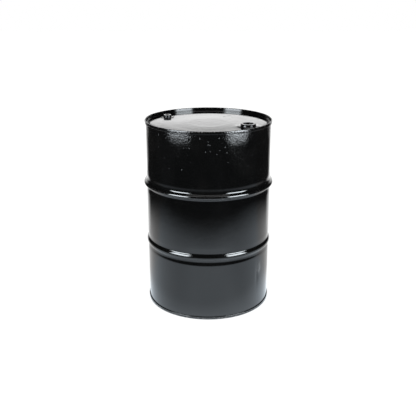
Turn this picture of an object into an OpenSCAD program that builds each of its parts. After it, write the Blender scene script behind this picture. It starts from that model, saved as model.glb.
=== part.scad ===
// Closed-head steel drum of about 200 litres: a rolled and welded body with two
// rolling hoops, double-seamed heads, and two screwed bungs in the top head.
// Millimetres, +Z up. The origin is on the axis, where the bottom chime stands on the floor.
// Sheet metal is drawn as a centreline path in (radius, height) that gets the sheet's
// thickness and is turned about the axis.

/* [Drum] */
// Height over both chimes
drum_height = 870; // [700:5:1100]
// Inside diameter of the rolled body
body_inner_d = 571.5; // [460:0.5:700]
// Thickness of the body sheet
body_sheet = 1.2; // [0.9:0.05:1.5]
// Thickness of the head sheet
head_sheet = 1.2; // [0.9:0.05:1.5]

/* [Rolling hoops] */
// Height of the lower hoop's crest above the floor
lower_hoop_z = 302; // [200:1:330]
// Height of the upper hoop's crest above the floor
upper_hoop_z = 583; // [440:1:620]
// How far the lower hoop stands out of the body
lower_hoop_rise = 5.5; // [4:0.5:12]
// How far the upper hoop stands out of the body
upper_hoop_rise = 13; // [8:0.5:15]
// Height of a hoop between the shallow grooves on each side of it
hoop_width = 37; // [32:1:50]
// Radius in the bottom of a groove, where the hoop starts
hoop_fillet = 10; // [2:0.5:11]
// Depth of a groove below the wall
groove_depth = 1.6; // [0.4:0.1:3]
// Height over which the wall eases into a groove
shoulder_width = 26; // [14:1:40]

/* [Chimes] */
// Height of the double seam
chime_height = 13; // [11:0.5:18]
// Bend radius of the head's sheet over the top of the seam
chime_bend = 2; // [1.9:0.05:2.2]
// Film of sealing compound between two layers of the seam
seam_film = 0.1; // [0.05:0.05:0.2]
// Room for sealing compound between the body's hook and the top of the seam
seam_void = 0.4; // [0.2:0.1:1]
// Room at the end of each hook
hook_gap = 0.3; // [0.2:0.1:1]

/* [Heads] */
// Depth of the head's outer channel below the top of the chime
head_recess = 20.5; // [19:0.5:34]
// Radius in the corner between the chuck wall and the head
head_corner = 6; // [4:0.5:8]
// Width of the flat channel inside that corner
channel_width = 9; // [3:1:15]
// How far the centre panel stands out of the channel
panel_rise = 5; // [1:0.5:6]
// Width of the slope from the channel to the centre panel
panel_slope = 6; // [4:1:12]

/* [Bungs] */
// Direction of the large bung, from +X towards +Y
bung_azimuth = -30; // [-180:1:180]
// Flat left between a bung's boss and the edge of the centre panel
bung_edge_gap = 9; // [1:1:15]
// Inner bend radius where the head's sheet turns up around a neck
collar_bend = 2.4; // [1:0.2:3]
// Inner bend radius where that sheet curls over a neck
collar_curl = 1.6; // [1:0.2:2]
// Radial running clearance between a plug and its neck
thread_clearance = 0.05; // [0.02:0.01:0.1]
// Radial gap between a plug and its own gasket
gasket_clearance = 0.4; // [0.2:0.1:1]
// Turns that each plug makes before it is free of its neck
bung_turns = 4; // [3:1:6]
// Gap between a plug's foot and its neck after the last turn
release_gap = 0.3; // [0.1:0.1:1]

/* [Large bung] */
// Mean diameter of the large thread (G2)
large_thread_d = 58.135; // [50:0.005:62]
// Pitch of the large thread
large_pitch = 2.309; // [2:0.001:2.4]
// Wall of the large neck
large_neck_wall = 4.3; // [3.5:0.1:6]
// Corner radius of the octagonal plate under the head
large_plate_r = 42; // [40:0.5:46]
// Thickness of that plate
large_plate_t = 2.5; // [2:0.1:4]
// Width of the flat boss outside the plate
large_boss_margin = 4; // [2:1:10]
// Width of the boss's slope
large_boss_slope = 6; // [4:1:10]
// How far the boss stands out of the centre panel
large_boss_rise = 2; // [1:0.5:4]
// Height of the collar above the boss
large_collar_height = 6; // [5.5:0.5:9]
// Thickness of the large gaskets
large_gasket_t = 1.5; // [1:0.1:2.5]
// Thickness of the large plug's rim
large_rim_t = 3; // [2.5:0.5:5]
// Wall of the large plug around its wrench socket
large_plug_wall = 5; // [4:0.5:8]
// Thickness of the large plug's floor
large_floor_t = 2; // [1.5:0.5:4]
// Number of wrench lugs in the large socket
large_lugs = 6; // [4:2:8]
// How far a large lug stands in from the socket's wall
large_lug_reach = 5; // [3:0.5:7]
// Width of a large lug
large_lug_w = 8; // [5:0.5:10]

/* [Small bung] */
// Mean diameter of the small thread (G3/4)
small_thread_d = 25.279; // [22:0.001:31]
// Pitch of the small thread
small_pitch = 1.814; // [1.5:0.001:2.2]
// Wall of the small neck
small_neck_wall = 4; // [3:0.1:5]
// Corner radius of the octagonal plate under the head
small_plate_r = 24; // [23:0.5:28]
// Thickness of that plate
small_plate_t = 2.2; // [2:0.1:3]
// Width of the flat boss outside the plate
small_boss_margin = 3; // [2:1:8]
// Width of the boss's slope
small_boss_slope = 5; // [3:1:8]
// How far the boss stands out of the centre panel
small_boss_rise = 1.5; // [1:0.5:3]
// Height of the collar above the boss
small_collar_height = 6; // [5.5:0.5:9]
// Thickness of the small gaskets
small_gasket_t = 1.2; // [1:0.1:2]
// Thickness of the small plug's rim
small_rim_t = 3.3; // [2.5:0.1:4]
// Wall of the small plug around its wrench socket
small_plug_wall = 3.1; // [2.5:0.1:4]
// Thickness of the small plug's floor
small_floor_t = 2; // [1.5:0.5:3]
// Number of wrench lugs in the small socket
small_lugs = 4; // [4:2:6]
// How far a small lug stands in from the socket's wall
small_lug_reach = 2.5; // [2:0.25:3]
// Width of a small lug
small_lug_w = 4; // [3:0.5:5]

/* [Hidden] */

$fn = 128;
bend_steps = 5;   // flats in a quarter bend
hoop_steps = 10;  // flats over a hoop's crest
slope_steps = 8;  // flats over a slope

black = [0.03, 0.03, 0.035];
rubber = [0.10, 0.10, 0.11];
sealant = [0.45, 0.46, 0.42];
steel = [0.55, 0.56, 0.57];

// Radii of the seam's layers on their centrelines, from the inside out
chuck_r = body_inner_d / 2 - seam_film - head_sheet / 2;
body_r = body_inner_d / 2 + body_sheet / 2;
cover_hook_r = body_r + body_sheet / 2 + seam_film + head_sheet / 2;
body_hook_r = cover_hook_r + head_sheet / 2 + seam_film + body_sheet / 2;
seam_wall_r = body_hook_r + body_sheet / 2 + seam_film + head_sheet / 2;

// Heights in the top seam; the bottom one mirrors it
seam_top_z = drum_height - head_sheet / 2;
body_turn = (body_hook_r - body_r) / 2;
body_turn_z = drum_height - head_sheet - seam_void - body_sheet / 2 - body_turn;
bead_z = body_turn_z + body_turn;
cover_turn = (seam_wall_r - cover_hook_r) / 2;
cover_turn_z = drum_height - chime_height + head_sheet / 2 + cover_turn;

// Head levels and radii
channel_z = drum_height - head_recess - head_sheet / 2;
panel_z = channel_z + panel_rise;
panel_edge_r = chuck_r - head_corner - channel_width;
panel_flat_r = panel_edge_r - panel_slope;

// ---- Paths and strips in the (radius, height) plane

function arc(centre, r, from, to, steps) =
    [for (i = [0:steps]) let (a = from + (to - from) * i / steps) centre + r * [cos(a), sin(a)]];
function reversed(path) = [for (i = [len(path) - 1:-1:0]) path[i]];
function turned(path) = [for (p = path) [p[1], p[0]]];
function flipped(path) = [for (p = path) [p[0], drum_height - p[1]]];
function without_doubles(path) =
    [for (i = [0:len(path) - 1]) if (i == 0 || norm(path[i] - path[i - 1]) > 0.001) path[i]];
function left_of(from, to) = let (d = (to - from) / norm(to - from)) [-d[1], d[0]];

// A path's point moved sideways, so that both its flats keep their distance
function moved(path, i, by) =
    let (
        last = len(path) - 1,
        before = left_of(path[max(i - 1, 0)], path[max(i, 1)]),
        after = left_of(path[min(i, last - 1)], path[min(i + 1, last)]),
        middle = (before + after) / norm(before + after)
    )
    path[i] + middle * by / (middle * before);

// A sheet of one thickness that follows a path
module strip(path, thickness) {
    p = without_doubles(path);
    polygon(concat(
        [for (i = [0:len(p) - 1]) moved(p, i, thickness / 2)],
        [for (i = [len(p) - 1:-1:0]) moved(p, i, -thickness / 2)]
    ));
}

// A smooth slope between two points, level at both ends
function slope(from, to) =
    [for (i = [0:slope_steps]) let (s = i / slope_steps)
        [from[0] + (to[0] - from[0]) * s, from[1] + (to[1] - from[1]) * (1 - cos(180 * s)) / 2]];

// ---- Body

groove_r = body_r - groove_depth;

// The wall eases in to a groove, swells out over the crest and comes back the same way.
// The arcs in the grooves are tangent to the crest's arc.
function hoop(z, rise) =
    let (
        half = hoop_width / 2,
        start = half + shoulder_width,
        lean = 2 * atan((rise + groove_depth) / half),
        crest = half / sin(lean) - hoop_fillet
    )
    concat(
        turned(slope([z - start, body_r], [z - half, groove_r])),
        arc([groove_r + hoop_fillet, z - half], hoop_fillet, 180, 180 - lean, bend_steps),
        arc([body_r + rise - crest, z], crest, -lean, lean, hoop_steps),
        arc([groove_r + hoop_fillet, z + half], hoop_fillet, 180 + lean, 180, bend_steps),
        turned(slope([z + half, groove_r], [z + start, body_r]))
    );

body_hook = concat(
    arc([body_r + body_turn, body_turn_z], body_turn, 180, 0, 2 * bend_steps),
    [[body_hook_r, cover_turn_z + hook_gap]]
);
body_path = concat(
    reversed(flipped(body_hook)),
    hoop(lower_hoop_z, lower_hoop_rise),
    hoop(upper_hoop_z, upper_hoop_rise),
    body_hook
);

module body_section() strip(body_path, body_sheet);

// ---- Heads

head_path = concat(
    [[0, panel_z]],
    slope([panel_flat_r, panel_z], [panel_edge_r, channel_z]),
    arc([chuck_r - head_corner, channel_z + head_corner], head_corner, 270, 360, bend_steps + 1),
    arc([chuck_r + chime_bend, seam_top_z - chime_bend], chime_bend, 180, 90, bend_steps),
    arc([seam_wall_r - chime_bend, seam_top_z - chime_bend], chime_bend, 90, 0, bend_steps),
    arc([cover_hook_r + cover_turn, cover_turn_z], cover_turn, 0, -180, 2 * bend_steps),
    [[cover_hook_r, body_turn_z - hook_gap]]
);

module top_head_section() strip(head_path, head_sheet);
module bottom_head_section() strip(flipped(head_path), head_sheet);

// The bead of compound that fills the room between the body's hook and a head's bend
module seam_compound(from_z)
    rotate_extrude()
        difference() {
            translate([chuck_r, from_z])
                square([seam_wall_r - chuck_r, drum_height - head_sheet - bead_z]);
            children();
            body_section();
        }

// ---- Bungs: each is drawn on its own axis with height 0 on top of its boss

// The largest radius of each boss, and how far its axis is from the drum's
large_boss_r = large_plate_r + large_boss_margin + large_boss_slope;
small_boss_r = small_plate_r + small_boss_margin + small_boss_slope;
large_reach = panel_flat_r - bung_edge_gap - large_boss_r;
small_reach = panel_flat_r - bung_edge_gap - small_boss_r;
large_top_z = panel_z + head_sheet / 2 + large_boss_rise;
small_top_z = panel_z + head_sheet / 2 + small_boss_rise;

module at_large() rotate(bung_azimuth) translate([large_reach, 0, large_top_z]) children();
module at_small() rotate(bung_azimuth + 180) translate([small_reach, 0, small_top_z]) children();

large_neck_r = large_thread_d / 2 + thread_clearance + large_neck_wall;
small_neck_r = small_thread_d / 2 + thread_clearance + small_neck_wall;

// The curled lip reaches over half of the neck's wall
large_lip_r = large_neck_r - large_neck_wall / 2 - head_sheet / 2;
small_lip_r = small_neck_r - small_neck_wall / 2 - head_sheet / 2;

// The head's sheet from the panel over the boss, up the neck and inwards over its top
module collar(neck_r, lip_r, boss_r, boss_slope, boss_rise, height) {
    mid = head_sheet / 2;
    wall_r = neck_r + mid;
    rotate_extrude()
        strip(concat(
            slope([boss_r, -boss_rise - mid], [boss_r - boss_slope, -mid]),
            arc([wall_r + mid + collar_bend, collar_bend], collar_bend + mid, 270, 180, bend_steps),
            arc([neck_r - collar_curl, height - head_sheet - collar_curl],
                collar_curl + mid, 0, 90, bend_steps),
            [[lip_r, height - mid]]
        ), head_sheet);
}

// A neck on an octagonal plate; its top edge is rounded to clear the curled sheet
module flange(thread_d, neck_r, plate_r, plate_t, gasket_t, height) {
    bore_r = thread_d / 2 + thread_clearance;
    neck_top = height - head_sheet;
    plate_top = -head_sheet - gasket_t;
    edge = collar_curl + head_sheet / 2;
    difference() {
        union() {
            translate([0, 0, plate_top - plate_t]) cylinder(r = plate_r, h = plate_t, $fn = 8);
            rotate_extrude()
                polygon(concat(
                    [[bore_r / 2, plate_top - plate_t], [neck_r, plate_top - plate_t]],
                    arc([neck_r - edge, neck_top - edge], edge, 0, 90, bend_steps),
                    [[bore_r / 2, neck_top]]
                ));
        }
        translate([0, 0, plate_top - plate_t - 1])
            cylinder(r = bore_r, h = neck_top - plate_top + plate_t + 2);
    }
}

module ring(inner_r, outer_r, from_z, height)
    translate([0, 0, from_z])
        difference() {
            cylinder(r = outer_r, h = height);
            translate([0, 0, -1]) cylinder(r = inner_r, h = height + 2);
        }

// A cup with a rim, and lugs inside it for the bung wrench
module plug(thread_d, pitch, wall, rim_r, rim_t, gasket_t, height, floor_t, lugs, reach, lug_w) {
    rim_z = height + gasket_t;
    foot_z = height - head_sheet - bung_turns * pitch - release_gap;
    socket_r = thread_d / 2 - wall;
    round_r = rim_t / 2;
    lead = pitch / 2;
    lug_z = foot_z + floor_t / 2;
    rotate_extrude()
        polygon(concat(
            [[0, foot_z], [thread_d / 2 - lead, foot_z], [thread_d / 2, foot_z + lead]],
            [[thread_d / 2, rim_z], [rim_r, rim_z]],
            arc([rim_r - round_r, rim_z + rim_t - round_r], round_r, 0, 90, bend_steps),
            arc([socket_r + round_r / 2, rim_z + rim_t - round_r / 2], round_r / 2, 90, 180, bend_steps),
            [[socket_r, foot_z + floor_t], [0, foot_z + floor_t]]
        ));
    for (i = [0:lugs - 1])
        rotate(i * 360 / lugs - bung_azimuth)
            intersection() {
                translate([socket_r - reach, -lug_w / 2, lug_z])
                    cube([reach + wall, lug_w, rim_z + rim_t - round_r - lug_z]);
                translate([0, 0, lug_z]) cylinder(r = socket_r + wall / 2, h = rim_z + rim_t - lug_z);
            }
}

// ---- Sub-parts

module body_shell() color(black) rotate_extrude() body_section();

module top_head() color(black) {
    difference() {
        rotate_extrude() top_head_section();
        at_large() translate([0, 0, -head_recess / 2]) cylinder(r = large_boss_r, h = head_recess);
        at_small() translate([0, 0, -head_recess / 2]) cylinder(r = small_boss_r, h = head_recess);
    }
    at_large() collar(large_neck_r, large_lip_r, large_boss_r, large_boss_slope, large_boss_rise,
        large_collar_height);
    at_small() collar(small_neck_r, small_lip_r, small_boss_r, small_boss_slope, small_boss_rise,
        small_collar_height);
}

module bottom_head() color(black) rotate_extrude() bottom_head_section();
module top_seam_compound() color(sealant) seam_compound(bead_z) top_head_section();
module bottom_seam_compound() color(sealant) seam_compound(head_sheet) bottom_head_section();

module large_flange() color(steel)
    at_large() flange(large_thread_d, large_neck_r, large_plate_r, large_plate_t, large_gasket_t,
        large_collar_height);
module small_flange() color(steel)
    at_small() flange(small_thread_d, small_neck_r, small_plate_r, small_plate_t, small_gasket_t,
        small_collar_height);

// Each flange gasket fits the neck and stays inside the plate's flats
module large_flange_gasket() color(rubber)
    at_large() ring(large_neck_r, large_plate_r * cos(22.5) - head_sheet,
        -head_sheet - large_gasket_t, large_gasket_t);
module small_flange_gasket() color(rubber)
    at_small() ring(small_neck_r, small_plate_r * cos(22.5) - head_sheet,
        -head_sheet - small_gasket_t, small_gasket_t);

// Each rim is as wide as its collar
module large_plug() color(black)
    at_large() plug(large_thread_d, large_pitch, large_plug_wall, large_neck_r + head_sheet,
        large_rim_t, large_gasket_t, large_collar_height, large_floor_t, large_lugs,
        large_lug_reach, large_lug_w);
module small_plug() color(black)
    at_small() plug(small_thread_d, small_pitch, small_plug_wall, small_neck_r + head_sheet,
        small_rim_t, small_gasket_t, small_collar_height, small_floor_t, small_lugs,
        small_lug_reach, small_lug_w);

module large_plug_gasket() color(rubber)
    at_large() ring(large_thread_d / 2 + gasket_clearance, large_neck_r, large_collar_height,
        large_gasket_t);
module small_plug_gasket() color(rubber)
    at_small() ring(small_thread_d / 2 + gasket_clearance, small_neck_r, small_collar_height,
        small_gasket_t);

body_shell();
top_head();
bottom_head();
top_seam_compound();
bottom_seam_compound();
large_flange();
large_flange_gasket();
large_plug();
large_plug_gasket();
small_flange();
small_flange_gasket();
small_plug();
small_plug_gasket();
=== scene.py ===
import math
import random

import bmesh
import bpy
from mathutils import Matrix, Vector, noise
from mathutils.geometry import delaunay_2d_cdt


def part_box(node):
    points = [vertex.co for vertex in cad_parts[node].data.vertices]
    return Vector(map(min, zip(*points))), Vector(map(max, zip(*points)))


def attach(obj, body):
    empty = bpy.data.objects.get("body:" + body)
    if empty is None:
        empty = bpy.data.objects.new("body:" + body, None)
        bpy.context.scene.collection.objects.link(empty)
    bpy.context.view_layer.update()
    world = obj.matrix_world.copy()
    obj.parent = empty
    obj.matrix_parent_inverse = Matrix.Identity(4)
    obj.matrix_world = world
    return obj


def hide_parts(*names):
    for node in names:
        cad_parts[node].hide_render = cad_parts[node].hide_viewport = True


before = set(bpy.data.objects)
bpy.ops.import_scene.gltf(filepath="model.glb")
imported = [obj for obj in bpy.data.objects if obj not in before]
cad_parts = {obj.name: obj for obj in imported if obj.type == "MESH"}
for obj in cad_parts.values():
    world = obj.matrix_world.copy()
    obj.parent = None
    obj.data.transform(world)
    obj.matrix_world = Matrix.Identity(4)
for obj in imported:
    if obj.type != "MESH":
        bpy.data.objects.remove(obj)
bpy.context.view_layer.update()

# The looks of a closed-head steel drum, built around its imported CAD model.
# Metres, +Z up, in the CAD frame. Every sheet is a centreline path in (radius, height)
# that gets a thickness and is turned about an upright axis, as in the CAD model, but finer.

mm = 0.001
tau = 2 * math.pi
tiny = 1e-7
same_point = 1e-6
merge_within = 1e-9
sharp_angle = math.radians(48)

# ---- Sizes of the CAD model

drum_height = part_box("top_head")[1].z
body_inner_r = 285.75 * mm
sheet = 1.2 * mm
lower_hoop_z = 302 * mm
upper_hoop_z = 583 * mm
lower_hoop_rise = 5.5 * mm
upper_hoop_rise = 13 * mm
hoop_half = 18.5 * mm
hoop_fillet = 10 * mm
groove_depth = 1.6 * mm
shoulder_width = 26 * mm
chime_height = 13 * mm
chime_bend = 2 * mm
seam_film = 0.1 * mm
seam_void = 0.4 * mm
hook_gap = 0.3 * mm
head_recess = 20.5 * mm
head_corner = 6 * mm
channel_width = 9 * mm
panel_rise = 5 * mm
panel_slope = 6 * mm
bung_azimuth = math.radians(-30)
bung_edge_gap = 9 * mm
collar_bend = 2.4 * mm
collar_curl = 1.6 * mm
thread_clearance = 0.05 * mm
gasket_clearance = 0.4 * mm
bung_turns = 4
release_gap = 0.3 * mm
plate_corners = 8
thread_depth_share = 0.64

drum_facets = 360
bung_facets = 144
thread_facets = 192
rows_per_turn = 12

half_sheet = sheet / 2
chuck_r = body_inner_r - seam_film - half_sheet
body_r = body_inner_r + half_sheet
cover_hook_r = body_r + seam_film + sheet
body_hook_r = cover_hook_r + seam_film + sheet
seam_wall_r = body_hook_r + seam_film + sheet
seam_top_z = drum_height - half_sheet
body_turn = (body_hook_r - body_r) / 2
body_turn_z = drum_height - sheet - seam_void - half_sheet - body_turn
cover_turn = (seam_wall_r - cover_hook_r) / 2
cover_turn_z = drum_height - chime_height + half_sheet + cover_turn
channel_z = drum_height - head_recess - half_sheet
panel_z = channel_z + panel_rise
panel_edge_r = chuck_r - head_corner - channel_width
panel_flat_r = panel_edge_r - panel_slope
groove_r = body_r - groove_depth
wall_r = body_r + half_sheet


class Bung:
    """The sizes of one bung, on its own axis, with height 0 on top of its boss."""

    def __init__(self, name, thread_d, pitch, neck_wall, plate_r, plate_t, boss_margin, boss_slope,
                 boss_rise, collar_height, gasket_t, rim_t, plug_wall, floor_t, lugs, lug_reach, lug_w,
                 azimuth):
        self.name = name
        self.thread_r = thread_d / 2 * mm
        self.pitch = pitch * mm
        self.plate_r = plate_r * mm
        self.plate_t = plate_t * mm
        self.boss_slope = boss_slope * mm
        self.boss_rise = boss_rise * mm
        self.collar_height = collar_height * mm
        self.gasket_t = gasket_t * mm
        self.rim_t = rim_t * mm
        self.socket_r = self.thread_r - plug_wall * mm
        self.floor_t = floor_t * mm
        self.lugs = lugs
        self.lug_reach = lug_reach * mm
        self.lug_w = lug_w * mm
        self.neck_r = self.thread_r + thread_clearance + neck_wall * mm
        self.lip_r = self.neck_r - neck_wall * mm / 2 - half_sheet
        self.boss_r = (plate_r + boss_margin + boss_slope) * mm
        self.top_z = panel_z + half_sheet + self.boss_rise
        self.neck_top_z = self.top_z + self.collar_height - sheet
        self.rim_z = self.top_z + self.collar_height + self.gasket_t
        self.foot_z = self.neck_top_z - bung_turns * self.pitch - release_gap
        self.plate_top_z = self.top_z - sheet - self.gasket_t
        self.thread_depth = thread_depth_share * self.pitch
        reach = panel_flat_r - bung_edge_gap - self.boss_r
        self.axis = (reach * math.cos(azimuth), reach * math.sin(azimuth))


large = Bung("large", thread_d=58.135, pitch=2.309, neck_wall=4.3, plate_r=42, plate_t=2.5,
             boss_margin=4, boss_slope=6, boss_rise=2, collar_height=6, gasket_t=1.5, rim_t=3,
             plug_wall=5, floor_t=2, lugs=6, lug_reach=5, lug_w=8, azimuth=bung_azimuth)
small = Bung("small", thread_d=25.279, pitch=1.814, neck_wall=4, plate_r=24, plate_t=2.2,
             boss_margin=3, boss_slope=5, boss_rise=1.5, collar_height=6, gasket_t=1.2, rim_t=3.3,
             plug_wall=3.1, floor_t=2, lugs=4, lug_reach=2.5, lug_w=4, azimuth=bung_azimuth + math.pi)
bungs = (large, small)

# ---- Paths in the (radius, height) plane


def arc(centre, radius, start, end, steps):
    """Points on an arc, from one angle to another in degrees."""
    points = []
    for i in range(steps + 1):
        angle = math.radians(start + (end - start) * i / steps)
        points.append((centre[0] + radius * math.cos(angle), centre[1] + radius * math.sin(angle)))
    return points


def slope(start, end, steps):
    """A smooth slope between two points, level at both ends."""
    points = []
    for i in range(steps + 1):
        share = i / steps
        rise = (1 - math.cos(math.pi * share)) / 2
        points.append((start[0] + (end[0] - start[0]) * share, start[1] + (end[1] - start[1]) * rise))
    return points


def line(start, end, steps):
    """Points inside a straight stretch, without its ends."""
    return [(start[0] + (end[0] - start[0]) * i / steps, start[1] + (end[1] - start[1]) * i / steps)
            for i in range(1, steps)]


def turned(path):
    """The path with its two coordinates swapped."""
    return [(p[1], p[0]) for p in path]


def flipped(path):
    """The path upside down, for the seam at the foot."""
    return [(p[0], drum_height - p[1]) for p in path]


def beside(path, by):
    """The path moved sideways, to its left."""
    path = [p for i, p in enumerate(path) if i == 0 or math.dist(p, path[i - 1]) > same_point]
    normals = []
    for a, b in zip(path, path[1:]):
        length = math.dist(a, b)
        normals.append(((a[1] - b[1]) / length, (b[0] - a[0]) / length))
    moved = []
    for i, p in enumerate(path):
        before = normals[max(i - 1, 0)]
        after = normals[min(i, len(normals) - 1)]
        middle = (before[0] + after[0], before[1] + after[1])
        share = by / (middle[0] * before[0] + middle[1] * before[1])
        moved.append((p[0] + middle[0] * share, p[1] + middle[1] * share))
    return moved


def hoop(z, rise, bend_steps, slope_steps):
    """The wall eases in to a groove, swells out over the crest and comes back the same way."""
    start = hoop_half + shoulder_width
    lean = 2 * math.degrees(math.atan((rise + groove_depth) / hoop_half))
    crest = hoop_half / math.sin(math.radians(lean)) - hoop_fillet
    fillet_r = groove_r + hoop_fillet
    return (turned(slope((z - start, body_r), (z - hoop_half, groove_r), slope_steps))
            + arc((fillet_r, z - hoop_half), hoop_fillet, 180, 180 - lean, bend_steps)
            + arc((body_r + rise - crest, z), crest, -lean, lean, 2 * bend_steps)
            + arc((fillet_r, z + hoop_half), hoop_fillet, 180 + lean, 180, bend_steps)
            + turned(slope((z + hoop_half, groove_r), (z + start, body_r), slope_steps)))


# ---- Closed surfaces from rings of points


class Shell:
    """Points and faces of one closed piece."""

    def __init__(self):
        self.points = []
        self.faces = []

    def ring(self, points):
        """Adds points, and gives the numbers that they have in the piece."""
        start = len(self.points)
        self.points.extend(points)
        return list(range(start, len(self.points)))

    def bridge(self, first, second):
        """Fills the band between two rings. A ring of one point is a pole."""
        count = max(len(first), len(second))
        for i in range(count):
            j = (i + 1) % count
            if len(first) == 1:
                self.faces.append((first[0], second[i], second[j]))
            elif len(second) == 1:
                self.faces.append((first[i], first[j], second[0]))
            else:
                self.faces.append((first[i], first[j], second[j], second[i]))

    def turn(self, profile, angles, axis=(0, 0), shape=None):
        """Rings of a profile turned about an upright axis, joined in order."""
        rings = []
        for radius, height in profile:
            if radius < tiny:
                rings.append(self.ring([(axis[0], axis[1], height)]))
                continue
            points = []
            for angle in angles:
                r, z = shape(radius, height, angle) if shape else (radius, height)
                points.append((axis[0] + r * math.cos(angle), axis[1] + r * math.sin(angle), z))
            rings.append(self.ring(points))
        for first, second in zip(rings, rings[1:]):
            self.bridge(first, second)
        return rings

    def fill(self, boundary, holes, inner):
        """A triangulated face inside a boundary ring, around the rings of its holes."""
        loops = [boundary] + [ring for ring, centre in holes]
        gaps = [(centre, math.dist(self.points[ring[0]][:2], centre) * math.cos(math.pi / len(ring)))
                for ring, centre in holes]
        known = [i for loop in loops for i in loop]
        flat = [Vector(self.points[i][:2]) for i in known] + [Vector(p[:2]) for p in inner]
        known += self.ring(inner)
        edges = []
        start = 0
        for loop in loops:
            edges += [(start + i, start + (i + 1) % len(loop)) for i in range(len(loop))]
            start += len(loop)
        points, _, faces, origins, _, _ = delaunay_2d_cdt(flat, edges, [], 0, merge_within)
        for face in faces:
            middle = sum((points[i] for i in face), Vector((0, 0))) / len(face)
            if all(math.dist(middle, centre) > radius for centre, radius in gaps):
                self.faces.append(tuple(known[origins[i][0]] for i in face))


def around(count):
    """Directions evenly spaced all the way round."""
    return [tau * i / count for i in range(count)]


def piece(shell, name, material, body, replaced=()):
    """Makes an object from a shell, smooth apart from its sharp edges, and puts it on a body."""
    mesh = bpy.data.meshes.new(name)
    mesh.from_pydata(shell.points, [], shell.faces)
    work = bmesh.new()
    work.from_mesh(mesh)
    bmesh.ops.recalc_face_normals(work, faces=work.faces)
    work.to_mesh(mesh)
    work.free()
    mesh.shade_smooth()
    mesh.set_sharp_from_angle(angle=sharp_angle)
    mesh.materials.append(material)
    made = bpy.data.objects.new(name, mesh)
    bpy.context.scene.collection.objects.link(made)
    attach(made, body)
    if replaced:
        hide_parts(*replaced)
    return made


# ---- Materials


def node(tree, kind, inputs=None, **settings):
    """Adds a shader node with its settings, and fills or links its inputs."""
    made = tree.nodes.new("ShaderNode" + kind)
    for key, value in settings.items():
        setattr(made, key, value)
    for key, value in (inputs or {}).items():
        if isinstance(value, bpy.types.NodeSocket):
            tree.links.new(value, made.inputs[key])
        else:
            made.inputs[key].default_value = value
    return made


def maths(tree, operation, first, second=0.0):
    """A number worked out from two others."""
    return node(tree, "Math", {0: first, 1: second}, operation=operation).outputs[0]


def vector(tree, operation, first, second=None):
    """A vector sum, product, distance or length."""
    inputs = {0: first} if second is None else {0: first, 1: second}
    return node(tree, "VectorMath", inputs, operation=operation)


def speckle(tree, place, scale, detail=2.0, stretch=None):
    """Noise at a scale in features per metre, optionally stretched along an axis."""
    if stretch:
        place = node(tree, "Mapping", {"Vector": place, "Scale": stretch}).outputs[0]
    return node(tree, "TexNoise", {"Vector": place, "Scale": scale, "Detail": detail}).outputs["Fac"]


def ramped(tree, value, low, high, to_low=0.0, to_high=1.0):
    """A value taken from one range to another, smoothly and held at both ends."""
    return node(tree, "MapRange", {"Value": value, 1: low, 2: high, 3: to_low, 4: to_high},
                interpolation_type="SMOOTHSTEP").outputs[0]


def mixed(tree, share, first, second):
    """A colour between two, by a share from 0 to 1."""
    return node(tree, "Mix", {0: share, 6: first, 7: second}, data_type="RGBA").outputs[2]


def bumped(tree, height, distance, normal=None):
    """A surface normal tilted by a relief, which is a height from 0 to 1 times a distance."""
    inputs = {"Height": height, "Distance": distance, "Strength": 1.0}
    if normal:
        inputs["Normal"] = normal
    return node(tree, "Bump", inputs).outputs[0]


def new_material(name):
    """A material, its nodes, its shader, and the place of a point on the object."""
    material = bpy.data.materials.new(name)
    material.use_nodes = True
    tree = material.node_tree
    shader = tree.nodes["Principled BSDF"]
    place = node(tree, "TexCoord").outputs["Object"]
    return material, tree, shader, place


def grey(value, warmth=0.0):
    """A grey, made a little warm by a share of its own value."""
    return (value * (1 + warmth), value, value * (1 - warmth), 1)


def on_drum(front_angle, height, radius):
    """A point on the drum, by its angle from the front towards +X in degrees."""
    angle = math.radians(front_angle)
    return Vector((radius * math.sin(angle), -radius * math.cos(angle), height))


# Noise scales are in features per metre, and reliefs in metres.
enamel_black = grey(0.0032)
enamel_roughness = 0.075
enamel_ior = 1.54
dust_tone = grey(0.05, 0.1)
rub_tone = grey(0.12)
smear_tone = grey(0.10)
scuff_tone = grey(0.30)
rust_tone = (0.045, 0.018, 0.009, 1)
bare_tone = grey(0.42, 0.03)
rust_share = 0.5
up_the_wall = (1, 1, 0.05)
round_the_wall = (1, 1, 40)
run_down = (1, 1, 0.22)
peel_scale, peel_relief = 240, 0.05 * mm
sag_scale, sag_relief = 42, 0.14 * mm
grit_scale, grit_relief = 190, 0.7 * mm
chip_relief = -0.08 * mm
warp_scale, warp_share = 260.0, 0.003
flake_scale = 170
scuff_centre = on_drum(55.0, 205 * mm, wall_r)
scuff_half_width = 24 * mm
scuff_half_height = 48 * mm
scuff_scale = (1 / scuff_half_width, 1 / scuff_half_width, 1 / scuff_half_height)


def wear_places(tree, place):
    """How much of an edge that gets knocked a point is on, and how near a seam's wrinkles."""
    parts = node(tree, "SeparateXYZ", {0: place})
    height = parts.outputs[2]
    on_axis = node(tree, "CombineXYZ", {0: parts.outputs[0], 1: parts.outputs[1]}).outputs[0]
    out = vector(tree, "LENGTH", on_axis).outputs["Value"]
    foot = ramped(tree, height, 12 * mm, 7 * mm, 0.0, 0.7)
    brim = ramped(tree, height, drum_height - 5 * mm, drum_height - 2 * mm, 0.0, 0.4)
    crest = ramped(tree, out, wall_r + 10 * mm, wall_r + 12.5 * mm, 0.0, 0.12)
    edges = maths(tree, "ADD", maths(tree, "ADD", foot, brim), crest)
    edges = maths(tree, "MINIMUM", edges, 1.0)
    under_brim = ramped(tree, height, drum_height - 95 * mm, drum_height - 25 * mm)
    above_foot = ramped(tree, height, 60 * mm, 20 * mm, 0.0, 0.5)
    outside = ramped(tree, out, wall_r - 2 * mm, wall_r - 1 * mm)
    near_seam = maths(tree, "MULTIPLY", maths(tree, "ADD", under_brim, above_foot), outside)
    return edges, near_seam


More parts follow.
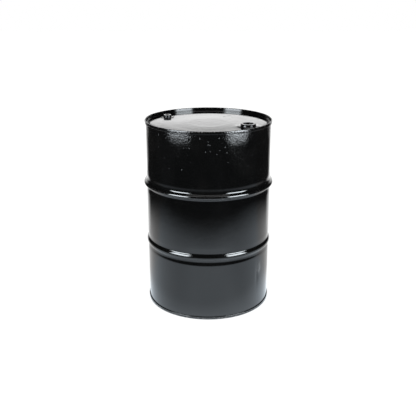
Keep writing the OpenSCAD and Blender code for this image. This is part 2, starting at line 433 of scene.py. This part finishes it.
def scuffed(tree, place):
    """A pale rub low on the wall, broken up by noise."""
    away = vector(tree, "SUBTRACT", place, scuff_centre).outputs[0]
    away = vector(tree, "MULTIPLY", away, scuff_scale).outputs[0]
    away = vector(tree, "LENGTH", away).outputs["Value"]
    patchy = ramped(tree, speckle(tree, place, 45, 4.0, (1, 1, 0.5)), 0.42, 0.66, 0.1, 0.35)
    return maths(tree, "MULTIPLY", ramped(tree, away, 1.0, 0.2), patchy)


def enamel(name, chips=()):
    """Gloss black enamel: orange peel, a thin film of dust, fine scratches and a few chips."""
    material, tree, shader, place = new_material(name)
    dust = ramped(tree, speckle(tree, place, 7, 5.0), 0.45, 0.75)
    streaks = ramped(tree, speckle(tree, place, 60, 3.0, up_the_wall), 0.5, 0.8)
    rubs = ramped(tree, speckle(tree, place, 30, 4.0, round_the_wall), 0.66, 0.74)
    smears = ramped(tree, speckle(tree, place, 9, 4.0, run_down), 0.50, 0.74)
    wobble = node(tree, "TexNoise", {"Vector": place, "Scale": warp_scale}).outputs[1]
    warped = node(tree, "Mix", {0: warp_share, 4: place, 5: wobble}, data_type="VECTOR").outputs[1]
    edges, near_seam = wear_places(tree, place)
    flakes = ramped(tree, speckle(tree, warped, flake_scale, 2.0), 0.60, 0.63)
    bare = maths(tree, "MULTIPLY", edges, flakes) if chips else 0.0
    rim = bare
    for centre, size in chips:
        away = vector(tree, "DISTANCE", warped, centre).outputs["Value"]
        bare = maths(tree, "MAXIMUM", bare, ramped(tree, away, size * 1.06, size * 0.94))
        rim = maths(tree, "MAXIMUM", rim, ramped(tree, away, size * 1.5, size))
    colour = enamel_black
    films = ((dust, 0.05, dust_tone), (rubs, 0.04, rub_tone), (smears, 0.018, smear_tone))
    for layer, share, tone in films:
        colour = mixed(tree, maths(tree, "MULTIPLY", layer, share), colour, tone)
    if chips:
        colour = mixed(tree, scuffed(tree, place), colour, scuff_tone)
        colour = mixed(tree, maths(tree, "MULTIPLY", rim, rust_share), colour, rust_tone)
        colour = mixed(tree, bare, colour, bare_tone)
    roughness = enamel_roughness
    for layer, added in ((dust, 0.05), (streaks, 0.03), (rubs, 0.12), (bare, 0.3)):
        roughness = maths(tree, "ADD", roughness, maths(tree, "MULTIPLY", layer, added))
    grit = maths(tree, "MULTIPLY", near_seam, speckle(tree, place, grit_scale, 2.0))
    normal = bumped(tree, speckle(tree, place, peel_scale, 1.0), peel_relief)
    normal = bumped(tree, speckle(tree, place, sag_scale, 2.0), sag_relief, normal)
    normal = bumped(tree, grit, grit_relief, normal)
    if chips:
        normal = bumped(tree, bare, chip_relief, normal)
    tree.links.new(colour, shader.inputs["Base Color"])
    tree.links.new(roughness, shader.inputs["Roughness"])
    tree.links.new(normal, shader.inputs["Normal"])
    shader.inputs["IOR"].default_value = enamel_ior
    return material


zinc_dark = (0.50, 0.51, 0.53, 1)
zinc_light = (0.60, 0.60, 0.60, 1)
zinc_dull = (0.36, 0.35, 0.33, 1)
spangle_scale = 320.0
zinc_roughness = 0.28
zinc_grain_scale, zinc_grain_relief = 700, 0.03 * mm


def zinc(name):
    """Zinc-plated steel with a faint spangle and dull patches."""
    material, tree, shader, place = new_material(name)
    cells = node(tree, "TexVoronoi", {"Vector": place, "Scale": spangle_scale}).outputs["Color"]
    tone = node(tree, "SeparateColor", {0: cells}).outputs[0]
    patches = ramped(tree, speckle(tree, place, 90, 4.0), 0.4, 0.7)
    colour = mixed(tree, tone, zinc_dark, zinc_light)
    colour = mixed(tree, maths(tree, "MULTIPLY", patches, 0.35), colour, zinc_dull)
    roughness = maths(tree, "ADD", zinc_roughness, maths(tree, "MULTIPLY", patches, 0.25))
    tree.links.new(colour, shader.inputs["Base Color"])
    tree.links.new(roughness, shader.inputs["Roughness"])
    grain = speckle(tree, place, zinc_grain_scale, 3.0)
    tree.links.new(bumped(tree, grain, zinc_grain_relief), shader.inputs["Normal"])
    shader.inputs["Metallic"].default_value = 1.0
    return material


def soft_solid(name, value, warmth, roughness, grain, relief):
    """Rubber or sealing compound: a dull colour with a fine grain."""
    material, tree, shader, place = new_material(name)
    cloud = ramped(tree, speckle(tree, place, 120, 4.0), 0.35, 0.7)
    colour = mixed(tree, cloud, grey(value, warmth), grey(value * 1.5, warmth))
    tree.links.new(colour, shader.inputs["Base Color"])
    tree.links.new(maths(tree, "ADD", roughness, maths(tree, "MULTIPLY", cloud, 0.15)),
                   shader.inputs["Roughness"])
    tree.links.new(bumped(tree, speckle(tree, place, grain, 3.0), relief), shader.inputs["Normal"])
    return material


seam_face_r = seam_wall_r + half_sheet
chips = (
    (on_drum(-3.1, 3 * mm, seam_face_r), 2.2 * mm),
    (on_drum(-24, 5 * mm, seam_face_r), 1.8 * mm),
    (on_drum(-29, 8 * mm, seam_face_r), 1.5 * mm),
    (on_drum(16.5, 9 * mm, seam_face_r), 3.0 * mm),
    (on_drum(25.6, 4 * mm, seam_face_r), 2.2 * mm),
    (on_drum(7.9, upper_hoop_z + 3 * mm, wall_r + upper_hoop_rise), 2.4 * mm),
    (on_drum(-118, upper_hoop_z, wall_r + upper_hoop_rise), 2.6 * mm),
    (on_drum(141, lower_hoop_z, wall_r + lower_hoop_rise), 3.0 * mm),
    (on_drum(163, drum_height - 3 * mm, seam_face_r), 2.5 * mm),
    (on_drum(-152, 6 * mm, seam_face_r), 3.2 * mm),
    (on_drum(84, 4 * mm, seam_face_r), 2.6 * mm),
)
body_paint = enamel("body_enamel", chips)
head_paint = enamel("head_enamel", chips)
plug_paint = enamel("plug_enamel")
zinc_steel = zinc("zinc_plate")
rubber = soft_solid("gasket_rubber_black", value=0.02, warmth=0.0, roughness=0.5,
                    grain=900, relief=0.04 * mm)
compound = soft_solid("cured_compound", value=0.18, warmth=0.06, roughness=0.6,
                      grain=500, relief=0.1 * mm)

# ---- Body: dents, wrinkles under the seams, and the weld up its back

weld_angle = math.radians(98)
weld_half = 1.6 * mm
weld_height = 0.22 * mm
wrinkle_depth = 60 * mm
pinch_depth = 1.1 * mm
crest_wear = 0.13 * mm
broad_ripple = {"waves": 2.1, "per_metre": 4.5, "shift": 0, "depth": 0.30 * mm}
fine_ripple = {"waves": 13, "per_metre": 34, "shift": 7, "depth": 0.09 * mm}
finer_ripple = {"waves": 30, "per_metre": 75, "shift": 3, "depth": 0.04 * mm}
chance_dents = 16
random.seed(20)

# Each dent is a direction, a height, its half width and half height, and its depth.
dents = [(math.radians(-38.6), 180 * mm, 9 * mm, 50 * mm, 1.7 * mm),
         (math.radians(-104.5), 843 * mm, 7 * mm, 9 * mm, -0.25 * mm)]
for _ in range(chance_dents):
    dents.append((random.uniform(-math.pi, math.pi), random.uniform(60, 800) * mm,
                  random.uniform(12, 30) * mm, random.uniform(12, 40) * mm,
                  random.uniform(0.05, 0.28) * mm))


def held(value, low, high):
    """0 below low, 1 above high, and smooth between them."""
    share = min(max((value - low) / (high - low), 0), 1)
    return share * share * (3 - 2 * share)


def around_distance(angle, other):
    """The distance along the wall between two directions."""
    return ((angle - other + math.pi) % tau - math.pi) * wall_r


def ripple(angle, height, waves, per_metre, shift, depth):
    """How far one scale of unevenness moves the wall outwards at a place on it."""
    place = Vector((math.cos(angle) * waves + shift, math.sin(angle) * waves, height * per_metre))
    return noise.noise(place) * depth


def body_shape(radius, height, angle):
    """Moves a point of the body's wall in or out, but nothing inside the seams or on a crest."""
    from_end = min(height, drum_height - height)
    free = held(from_end, 19 * mm, 30 * mm)
    off_crest = 1 - held(radius, wall_r + 1 * mm, wall_r + 4 * mm)
    wrinkles = ripple(angle, height, **fine_ripple) + ripple(angle, height, **finer_ripple)
    wrinkles *= 1 - held(from_end, chime_height + 20 * mm, chime_height + wrinkle_depth)
    wrinkles *= held(from_end, 17 * mm, 24 * mm)
    moved = (ripple(angle, height, **broad_ripple) * free + wrinkles) * off_crest
    for at, level, wide, tall, depth in dents:
        sideways = around_distance(angle, at) / wide
        upwards = (height - level) / tall
        if abs(sideways) < 3 and abs(upwards) < 3:
            moved -= depth * math.exp(-sideways ** 2 - upwards ** 2) * free
    below = lower_hoop_z - hoop_half
    pinch = held(height, below - 21 * mm, below - 2 * mm) * (1 - held(height, below, below + 10 * mm))
    moved -= pinch_depth * pinch
    moved -= crest_wear * held(radius, wall_r + 9 * mm, wall_r + 12.8 * mm)
    bead = math.exp(-(around_distance(angle, weld_angle) / weld_half) ** 2) * weld_height
    moved += bead * held(from_end, 14 * mm, 18 * mm) * off_crest
    return radius + moved, height


def body_hook(steps):
    """The end of the body sheet, turned outwards and down inside the seam."""
    return (arc((body_r + body_turn, body_turn_z), body_turn, 180, 0, steps)
            + [(body_hook_r, cover_turn_z + hook_gap)])


def body_path(hook_steps, bend_steps, slope_steps, wall_step):
    """The middle line of the body sheet, from the hook at its foot to the one at its top."""
    reach = hoop_half + shoulder_width
    stops = [(drum_height - body_turn_z, lower_hoop_z - reach),
             (lower_hoop_z + reach, upper_hoop_z - reach),
             (upper_hoop_z + reach, drum_height - chime_height - wrinkle_depth),
             (drum_height - chime_height - wrinkle_depth, body_turn_z)]
    walls = []
    for i, (low, high) in enumerate(stops):
        step = wall_step / 3 if i == 3 else wall_step
        walls.append(line((body_r, low), (body_r, high), max(2, round((high - low) / step))))
    return (flipped(body_hook(hook_steps))[::-1] + walls[0]
            + hoop(lower_hoop_z, lower_hoop_rise, bend_steps, slope_steps) + walls[1]
            + hoop(upper_hoop_z, upper_hoop_rise, bend_steps, slope_steps) + walls[2]
            + [(body_r, drum_height - chime_height - wrinkle_depth)] + walls[3]
            + body_hook(hook_steps))


weld_offsets = (-3.2, -2, -1, 1, 2, 3.2)
weld_columns = [weld_angle + across * mm / wall_r for across in weld_offsets]
body_angles = sorted(around(drum_facets) + weld_columns)
body = Shell()
outer_path = body_path(hook_steps=8, bend_steps=8, slope_steps=9, wall_step=14 * mm)
inner_path = body_path(hook_steps=5, bend_steps=3, slope_steps=3, wall_step=45 * mm)
outside = beside(outer_path, -half_sheet)
inside = beside(inner_path, half_sheet)
rings = body.turn(outside + inside[::-1], body_angles, shape=body_shape)
body.bridge(rings[-1], rings[0])
piece(body, "drum_body", body_paint, "drum", ["body_shell"])

# ---- Specks under the paint, most of them near the top

nib_steps = 12
chance_nibs = 70
nib_back = 0.3 * mm
nib_sunk = 0.25 * mm

# The rings of a dome, as shares of its radius and its size.
nib_dome = ((1.0, 0.0), (0.86, 0.17), (0.55, 0.31), (0.0, 0.38))

# Each named speck is an angle from the front in degrees and a height in millimetres.
named_nibs = ((-48, 836), (-0.2, 826), (-0.4, 813), (1.2, 812), (22.6, 817), (-16.3, 795), (7.1, 773),
              (-23.3, 700), (9, 841), (-7, 838), (-33, 824), (31, 835), (14, 801), (-2.5, 783))
nib_places = [(math.radians(front - 90), level * mm, random.uniform(2.4, 3.6) * mm)
              for front, level in named_nibs]
for _ in range(chance_nibs):
    level = drum_height - 24 * mm - abs(random.gauss(0, 90)) * mm
    nib_places.append((random.uniform(-math.pi, math.pi), max(level, 40 * mm),
                       random.uniform(1.0, 2.4) * mm))


def nib(shell, angle, level, size):
    """A low dome on the wall, closed behind it."""
    base_r = body_shape(wall_r, level, angle)[0]
    back_r = base_r - nib_back
    last = shell.ring([(back_r * math.cos(angle), back_r * math.sin(angle), level)])
    for share, rise in [(1.0, -nib_sunk)] + [(share, tall * size) for share, tall in nib_dome]:
        points = []
        for turn in around(nib_steps if share else 1):
            at = angle + size * share * math.cos(turn) / wall_r
            r = base_r + rise
            points.append((r * math.cos(at), r * math.sin(at), level + size * share * math.sin(turn)))
        ring = shell.ring(points)
        shell.bridge(last, ring)
        last = ring


nibs = Shell()
for place in nib_places:
    nib(nibs, *place)
piece(nibs, "paint_nibs", body_paint, "drum")

# ---- Heads: a flat panel that carries the bosses, and a rim folded into the seam

panel_spacing = 14 * mm
panel_ripple = 0.45 * mm
dish_centre_y = -20 * mm
dish_rings = ((95 * mm, 13 * mm, 0.12 * mm), (165 * mm, 20 * mm, -0.12 * mm))


def panel_shape(x, y, holes):
    """A slow wave over the panel, which stays level at its edge and beside each boss."""
    still = held(panel_flat_r - math.hypot(x, y), 0, 40 * mm)
    for centre, radius in holes:
        still *= held(math.dist((x, y), centre) - radius, 0, 25 * mm)
    wave = noise.noise(Vector((x * 5, y * 5, 3.7))) * panel_ripple
    for ring_r, width, lift in dish_rings:
        wave += lift * math.exp(-((math.hypot(x, y - dish_centre_y) - ring_r) / width) ** 2)
    return wave * still


def panel_points(height, holes, spacing):
    """Points over the panel, clear of its edge and its holes."""
    points = []
    steps = int(panel_flat_r / spacing)
    for i in range(-steps, steps + 1):
        for j in range(-steps, steps + 1):
            x = (i + (j % 2) / 2) * spacing
            y = j * spacing * math.sqrt(3) / 2
            clear = math.hypot(x, y) < panel_flat_r - spacing / 2
            if clear and all(math.dist((x, y), c) > r + spacing / 2 for c, r in holes):
                points.append((x, y, height + panel_shape(x, y, holes)))
    return points


def head_path(slope_steps, bend_steps):
    """The middle line of the head sheet, from its flat panel to the end of its hook."""
    return (slope((panel_flat_r, panel_z), (panel_edge_r, channel_z), slope_steps)
            + arc((chuck_r - head_corner, channel_z + head_corner), head_corner, 270, 360,
                  bend_steps + 2)
            + arc((chuck_r + chime_bend, seam_top_z - chime_bend), chime_bend, 180, 90, bend_steps)
            + arc((seam_wall_r - chime_bend, seam_top_z - chime_bend), chime_bend, 90, 0, bend_steps)
            + arc((cover_hook_r + cover_turn, cover_turn_z), cover_turn, 0, -180, 2 * bend_steps)
            + [(cover_hook_r, body_turn_z - hook_gap)])


def collar_path(bung, slope_steps, bend_steps):
    """The head's sheet from the panel over the boss, up the neck and inwards over its top."""
    z = bung.top_z
    collar_r = bung.neck_r + half_sheet
    return (slope((bung.boss_r, z - bung.boss_rise - half_sheet),
                  (bung.boss_r - bung.boss_slope, z - half_sheet), slope_steps)
            + arc((collar_r + half_sheet + collar_bend, z + collar_bend), collar_bend + half_sheet,
                  270, 180, bend_steps)
            + arc((bung.neck_r - collar_curl, z + bung.collar_height - sheet - collar_curl),
                  collar_curl + half_sheet, 0, 90, bend_steps)
            + [(bung.lip_r, z + bung.collar_height - half_sheet)])


def head(carried):
    """A head, with the bosses and collars of the bungs it carries."""
    shell = Shell()
    angles = around(drum_facets)
    over = shell.turn(beside(head_path(slope_steps=10, bend_steps=8), half_sheet), angles)
    under = shell.turn(beside(head_path(slope_steps=6, bend_steps=5), -half_sheet), angles)
    shell.bridge(over[-1], under[-1])
    holes_over, holes_under, places = [], [], []
    for bung in carried:
        angles = around(bung_facets)
        path = collar_path(bung, slope_steps=8, bend_steps=8)
        collar_over = shell.turn(beside(path, -half_sheet), angles, bung.axis)
        collar_under = shell.turn(beside(path, half_sheet), angles, bung.axis)
        shell.bridge(collar_over[-1], collar_under[-1])
        holes_over.append((collar_over[0], bung.axis))
        holes_under.append((collar_under[0], bung.axis))
        places.append((bung.axis, bung.boss_r))
    shell.fill(over[0], holes_over, panel_points(panel_z + half_sheet, places, panel_spacing))
    shell.fill(under[0], holes_under, panel_points(panel_z - half_sheet, places, panel_spacing))
    return shell


piece(head(bungs), "drum_top_head", head_paint, "drum", ["top_head"])
base = head(())
base.points = [(x, y, drum_height - z) for x, y, z in base.points]
piece(base, "drum_bottom_head", head_paint, "drum", ["bottom_head"])

# ---- Bungs: threaded plugs with wrench lugs, necks on octagonal plates, and gaskets


thread_start = 0.4 * mm
thread_stop = 0.6 * mm
rim_edge = 0.2 * mm
lug_round = 0.8 * mm
lug_foot = 1.2 * mm
lug_side_inner = 0.9 * mm
lug_side_outer = 0.3 * mm
floor_boss = 0.3 * mm
plate_chamfer = 0.5 * mm


def threaded(bung, radius, low, high):
    """A shape that adds the rounded thread between two heights, fading out at both."""
    def shape(r, z, angle):
        fade = held(z, low, low + bung.pitch) * (1 - held(z, high - bung.pitch, high))
        wave = math.cos(tau * (z / bung.pitch - angle / tau))
        inside = abs(r - radius) < tiny and low < z < high
        return (r + bung.thread_depth / 2 * wave * fade if inside else r), z
    return shape


def thread_rows(bung, radius, low, high):
    """Rows close enough together to show each turn of the thread."""
    step = bung.pitch / rows_per_turn
    first = math.floor(low / step) + 1
    last = math.ceil(high / step) - 1
    return [(radius, i * step) for i in range(first, last + 1)]


def plug(bung):
    """A cup that screws into its neck, with a rim and lugs inside for the bung wrench."""
    lead = bung.pitch / 2
    round_r = bung.rim_t / 2
    rim_r = bung.neck_r + sheet
    rim_top = bung.rim_z + bung.rim_t
    floor_z = bung.foot_z + bung.floor_t
    lug_top = rim_top - round_r
    thread_low = bung.foot_z + lead
    thread_high = bung.rim_z - thread_stop
    shell = Shell()
    fine = around(thread_facets)
    outer = [(0, bung.foot_z), (bung.thread_r * 0.5, bung.foot_z), (bung.thread_r - lead, bung.foot_z),
             (bung.thread_r, thread_low)]
    outer += thread_rows(bung, bung.thread_r, thread_low, thread_high)
    outer += [(bung.thread_r, thread_high), (bung.thread_r, bung.rim_z)]
    outer += [(rim_r - rim_edge, bung.rim_z), (rim_r, bung.rim_z + rim_edge)]
    outer += arc((rim_r - round_r, rim_top - round_r), round_r, 0, 90, 8)
    outer += arc((bung.socket_r + round_r / 2, rim_top - round_r / 2), round_r / 2, 90, 180, 6)
    rings = shell.turn(outer, fine, bung.axis, threaded(bung, bung.thread_r, thread_low, thread_high))

    def lug_share(angle):
        """1 on a lug, 0 beside it, with a soft corner between."""
        pitch = tau / bung.lugs
        off = abs((angle + pitch / 2) % pitch - pitch / 2) * (bung.socket_r - bung.lug_reach / 2)
        return 1 - held(off, bung.lug_w / 2 - lug_side_inner, bung.lug_w / 2 + lug_side_outer)

    rows = [(0, lug_top + rim_edge)]
    for i in range(6):
        bend = math.pi / 2 * i / 5
        rows.append((bung.lug_reach - lug_round + lug_round * math.sin(bend),
                     lug_top - lug_round + lug_round * math.cos(bend)))
    lug_levels = (lug_top - 2.5 * mm, (lug_top + floor_z) / 2, floor_z + lug_foot)
    rows += [(bung.lug_reach, z) for z in lug_levels]
    for i in range(1, 5):
        bend = math.pi / 2 * i / 4
        rows.append((bung.lug_reach + lug_round * (1 - math.cos(bend)),
                     floor_z + lug_foot - lug_foot * math.sin(bend)))
    last = rings[-1]
    for reach, height in rows:
        points = []
        for angle in fine:
            on_lug = lug_share(angle)
            bare_reach = max(0, reach - bung.lug_reach)
            r = bung.socket_r - reach * on_lug - bare_reach * (1 - on_lug)
            across, along = r * math.cos(angle), r * math.sin(angle)
            points.append((bung.axis[0] + across, bung.axis[1] + along, height))
        ring = shell.ring(points)
        shell.bridge(last, ring)
        last = ring
    floor_r = bung.socket_r - bung.lug_reach - 2 * lug_round
    boss_z = floor_z + floor_boss
    boss = [(floor_r, floor_z), (floor_r * 0.62, floor_z), (floor_r * 0.58, boss_z),
            (floor_r * 0.3, boss_z), (0, boss_z)]
    centre = shell.turn(boss, fine, bung.axis)
    shell.bridge(last, centre[0])
    return shell


def flange(bung):
    """A threaded neck on an octagonal plate under the head."""
    bore_r = bung.thread_r + thread_clearance
    edge = collar_curl + half_sheet
    plate_low = bung.plate_top_z - bung.plate_t
    thread_low = plate_low + thread_start
    thread_high = bung.neck_top_z - thread_start
    angles = around(thread_facets)
    flat_r = bung.plate_r * math.cos(math.pi / plate_corners)
    shell = Shell()

    def flats(radius, height, angle):
        """Takes the plate's rings to the octagon, with a small chamfer left by their radii."""
        if radius < bung.neck_r + tiny:
            return threaded(bung, bore_r, thread_low, thread_high)(radius, height, angle)
        sector = tau / plate_corners
        off = angle % sector - sector / 2
        return radius * flat_r / bung.plate_r / math.cos(off), height

    chamfer = plate_chamfer
    profile = [(bore_r, plate_low), (bung.neck_r, plate_low), (bung.plate_r - chamfer, plate_low),
               (bung.plate_r, plate_low + chamfer), (bung.plate_r, bung.plate_top_z - chamfer),
               (bung.plate_r - chamfer, bung.plate_top_z), (bung.neck_r, bung.plate_top_z)]
    profile += arc((bung.neck_r - edge, bung.neck_top_z - edge), edge, 0, 90, 6)
    profile += [(bore_r, bung.neck_top_z)]
    profile += thread_rows(bung, bore_r, thread_low, thread_high)[::-1]
    rings = shell.turn(profile, angles, bung.axis, flats)
    shell.bridge(rings[-1], rings[0])
    return shell


def gasket(bung):
    """The ring under a plug's rim, a little rounded where it shows."""
    inner_r = bung.thread_r + gasket_clearance
    low = bung.top_z + bung.collar_height
    half = bung.gasket_t / 2
    crush = 0.15 * bung.gasket_t
    profile = [(inner_r, low), (inner_r, bung.rim_z), (bung.neck_r - half, bung.rim_z)]
    profile += [(bung.neck_r - crush, bung.rim_z - crush / 2), (bung.neck_r, low + half),
                (bung.neck_r - crush, low + crush / 2), (bung.neck_r - half, low)]
    shell = Shell()
    rings = shell.turn(profile, around(bung_facets), bung.axis)
    shell.bridge(rings[-1], rings[0])
    return shell


for bung in bungs:
    piece(plug(bung), bung.name + "_plug_cup", plug_paint, bung.name + "_bung",
          [bung.name + "_plug"])
    piece(flange(bung), bung.name + "_neck", zinc_steel, "drum", [bung.name + "_flange"])
    piece(gasket(bung), bung.name + "_plug_seal", rubber, bung.name + "_bung_rise",
          [bung.name + "_plug_gasket"])

kept_nodes = {"top_seam_compound": compound, "bottom_seam_compound": compound,
              "large_flange_gasket": rubber, "small_flange_gasket": rubber}
for name, material in kept_nodes.items():
    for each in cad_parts[name].material_slots:
        each.material = material

# ---- Camera

camera_distance = 2.902
camera_height = 1.430
camera_side = -0.0018
camera_pitch = math.radians(18.85)
sensor_width = 36
lens_per_width = 1.5464
camera = bpy.data.objects.new("camera", bpy.data.cameras.new("camera"))
camera.data.sensor_width = sensor_width
camera.data.lens = sensor_width * lens_per_width
camera.location = (camera_side, -camera_distance, camera_height)
camera.rotation_euler = (math.pi / 2 - camera_pitch, 0, 0)
bpy.context.scene.collection.objects.link(camera)
bpy.context.scene.camera = camera

# ---- Floor, backdrop and soft lights


def card(name, width, height, centre, facing, material):
    """A flat rectangle that faces a direction, hidden from the camera."""
    mesh = bpy.data.meshes.new(name)
    x, y = width / 2, height / 2
    mesh.from_pydata([(-x, -y, 0), (x, -y, 0), (x, y, 0), (-x, y, 0)], [], [(0, 1, 2, 3)])
    mesh.materials.append(material)
    made = bpy.data.objects.new(name, mesh)
    made.location = centre
    made.rotation_euler = Vector(facing).to_track_quat("Z", "Y").to_euler()
    made.visible_camera = False
    bpy.context.scene.collection.objects.link(made)
    return made


plain_share = 0.22


def glow(name, strength, soft_low, soft_high, from_row=0.0, dark_side=None, lit_side=None,
         tint=(1, 1, 1, 1)):
    """A light surface that fades between two of its own heights, and towards its two sides."""
    material = bpy.data.materials.new(name)
    material.use_nodes = True
    tree = material.node_tree
    tree.nodes.clear()
    place = node(tree, "SeparateXYZ", {0: node(tree, "TexCoord").outputs["Object"]})
    level = ramped(tree, place.outputs[1], soft_low, soft_high, from_row, strength)
    if dark_side:
        aside = maths(tree, "ABSOLUTE", place.outputs[0])
        level = maths(tree, "MULTIPLY", level, ramped(tree, aside, dark_side, lit_side))
    mirrored = node(tree, "LightPath").outputs["Is Glossy Ray"]
    level = maths(tree, "MULTIPLY", level, ramped(tree, mirrored, 0.0, 1.0, plain_share))
    front = maths(tree, "SUBTRACT", 1.0, node(tree, "NewGeometry").outputs["Backfacing"])
    light = node(tree, "Emission", {"Color": tint, "Strength": maths(tree, "MULTIPLY", level, front)})
    node(tree, "OutputMaterial", {"Surface": light.outputs[0]})
    return material


pool_middle = (0.04, 0.0, 0.0)
pool_squash = (1.0, 1.16, 0.0)
pool_dark, pool_bright = 1.9, 1.08
floor_half = 20.0
floor_tone = grey(0.22)
floor_in_light = grey(0.8)
cool_cast = (1.07, 1.19, 1.30, 1)
plain_cast = grey(1.05)


def stage_floor():
    """White floor: white to the camera, with the drum's shadow, and a lit pool in reflections."""
    material = bpy.data.materials.new("floor_white")
    material.use_nodes = True
    tree = material.node_tree
    tree.nodes.clear()
    place = node(tree, "TexCoord").outputs["Object"]
    middle = vector(tree, "SUBTRACT", place, pool_middle).outputs[0]
    oval = vector(tree, "MULTIPLY", middle, pool_squash).outputs[0]
    away = vector(tree, "LENGTH", oval).outputs["Value"]
    parts = node(tree, "SeparateXYZ", {0: middle})
    aside = maths(tree, "ABSOLUTE", parts.outputs[0])
    depth = parts.outputs[1]
    pool = ramped(tree, away, pool_dark, pool_bright, 0.02, 1.02)
    sideways = ramped(tree, maths(tree, "DIVIDE", aside, away), 0.3, 0.75, 1.05, 0.88)
    near = ramped(tree, away, 0.55, 0.3, 1.0, 1.5)
    spread = maths(tree, "ADD", maths(tree, "MULTIPLY", depth, 0.25), 0.725)
    beside_wedge = ramped(tree, maths(tree, "DIVIDE", aside, spread), 1.45, 0.85, 0.0, 1.15)
    wedge = maths(tree, "MULTIPLY", beside_wedge, ramped(tree, depth, 0.2, 0.9))
    seen = maths(tree, "MULTIPLY", maths(tree, "MULTIPLY", pool, sideways), near)
    seen = maths(tree, "MAXIMUM", seen, wedge)
    far = ramped(tree, away, 1.0, 2.2, 0.9, 0.985)
    path = node(tree, "LightPath")
    plain = node(tree, "BsdfDiffuse", {"Color": floor_tone})
    white = node(tree, "Emission", {"Strength": far})
    cast = mixed(tree, ramped(tree, depth, -0.1, 0.3), cool_cast, plain_cast)
    lit = node(tree, "Emission", {"Color": cast, "Strength": seen})
    dim = node(tree, "BsdfDiffuse", {"Color": floor_in_light})
    for_camera = node(tree, "AddShader", {0: plain.outputs[0], 1: white.outputs[0]})
    for_gloss = node(tree, "MixShader", {0: path.outputs["Is Glossy Ray"], 1: dim.outputs[0],
                                         2: lit.outputs[0]})
    surface = node(tree, "MixShader", {0: path.outputs["Is Camera Ray"], 1: for_gloss.outputs[0],
                                       2: for_camera.outputs[0]})
    node(tree, "OutputMaterial", {"Surface": surface.outputs[0]})
    mesh = bpy.data.meshes.new("floor")
    half = floor_half
    corners = [(-half, -half, 0), (half, -half, 0), (half, half, 0), (-half, half, 0)]
    mesh.from_pydata(corners, [], [(0, 1, 2, 3)])
    mesh.materials.append(material)
    made = bpy.data.objects.new("floor", mesh)
    bpy.context.scene.collection.objects.link(made)


stage_floor()
softbox_away = 2.35
softbox_low = 0.33
softbox_size = (1.74, 1.95)
softbox_strength = 18.0
softbox_tint = (0.93, 1.0, 1.05, 1)

# Each softbox is its direction from the front in degrees, and how deep its soft lower edge is.
softboxes = ((-51, 0.42), (50.5, 0.27))
for degrees, soft_edge in softboxes:
    angle = math.radians(degrees)
    half_height = softbox_size[1] / 2
    centre = Vector((softbox_away * math.sin(angle), -softbox_away * math.cos(angle),
                     softbox_low + half_height))
    facing = Vector((-math.sin(angle), math.cos(angle), 0))
    light = glow("softbox_light", softbox_strength, -half_height, -half_height + soft_edge,
                 dark_side=0.87, lit_side=0.55, tint=softbox_tint)
    card("softbox", *softbox_size, centre, facing, light)

overhead_size = (1.8, 1.9)
overhead_centre = (0, 0.05, 2.9)
overhead_light = glow("overhead_light", 2.5, -0.95, -0.6, 0.3)
card("overhead", *overhead_size, overhead_centre, (0, 0, -1), overhead_light)

backdrop_size = (4.4, 1.5)
backdrop_centre = (0, 2.1, 0.75)
backdrop_light = glow("backdrop_light", 2.02, 0.62, 0.5, 0.8, dark_side=2.1, lit_side=0.7)
card("backdrop", *backdrop_size, backdrop_centre, (0, -1, 0), backdrop_light)

sky_in_reflections = grey(0.012)
sky_in_light = grey(0.5)
sky_seen = grey(1.0)
world = bpy.data.worlds.new("studio")
bpy.context.scene.world = world
world.use_nodes = True
sky = world.node_tree
sky.nodes.clear()
rays = node(sky, "LightPath")
around_drum = mixed(sky, rays.outputs["Is Diffuse Ray"], sky_in_reflections, sky_in_light)
white_or_dim = mixed(sky, rays.outputs["Is Camera Ray"], around_drum, sky_seen)
back = node(sky, "Background", {"Color": white_or_dim, "Strength": 1.0})
node(sky, "OutputWorld", {"Surface": back.outputs[0]})

bpy.context.scene.view_settings.view_transform = "Standard"
